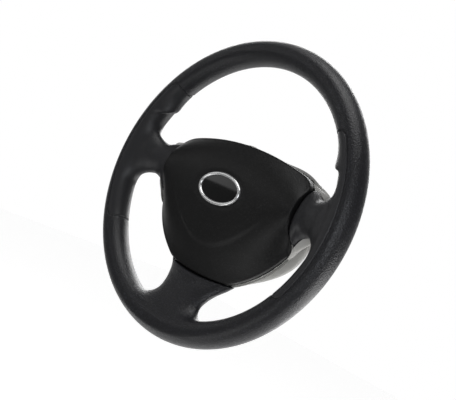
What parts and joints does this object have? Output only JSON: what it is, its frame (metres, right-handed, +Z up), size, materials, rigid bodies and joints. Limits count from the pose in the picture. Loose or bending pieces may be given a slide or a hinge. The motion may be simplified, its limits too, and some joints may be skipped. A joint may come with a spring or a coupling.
{
  "type": "car steering wheel",
  "caption": "Three-spoke car steering wheel with padded rim, thumb rests, domed airbag cover that presses in to sound the horn, bare oval emblem place and rear cover",
  "frame": {"origin": "middle of the hub's rear face, on the column axis, where the shaft enters the bore", "axes": "+X to the driver's right, +Y along the column away from the driver, +Z up at twelve o'clock"},
  "size_m": [0.38, 0.0937, 0.38],
  "materials": {
    "skin": "fine leather grain",
    "cover": "fine grain",
    "rear": "fine grain",
    "chrome": "bright",
    "badge": "gloss",
    "casting": "as cast",
    "steel": "zinc plated",
    "cushion": "woven",
    "bush": "natural nylon",
    "contact": "bright"
  },
  "bodies": {
    "wheel": {"rim_skin": "skin", "armature": "casting", "rim_core": "steel", "rear_cover": "rear", "rear_cover_screws": "steel", "horn_contact": "contact", "guide_bush_top": "bush", "guide_bush_left": "bush", "guide_bush_right": "bush", "horn_spring_top": "steel", "horn_spring_left": "steel", "horn_spring_right": "steel"},
    "airbag_module": {"airbag_cover": "cover", "emblem_ring": "chrome", "emblem_badge": "badge", "module_housing": "steel", "cushion_pack": "cushion", "cushion_retainer": "steel", "inflator": "steel", "inflator_nuts": "steel", "guide_pin_top": "steel", "guide_pin_left": "steel", "guide_pin_right": "steel"}
  },
  "joints": [
    {"name": "horn_press", "type": "slide", "parent": "wheel", "child": "airbag_module", "axis": [0, 1, 0], "range_m": [0, 0.0015], "stiffness_N_per_m": 12000, "springref_m": -0.0015, "deforming": ["horn_spring_top", "horn_spring_left", "horn_spring_right"]}
  ]
}
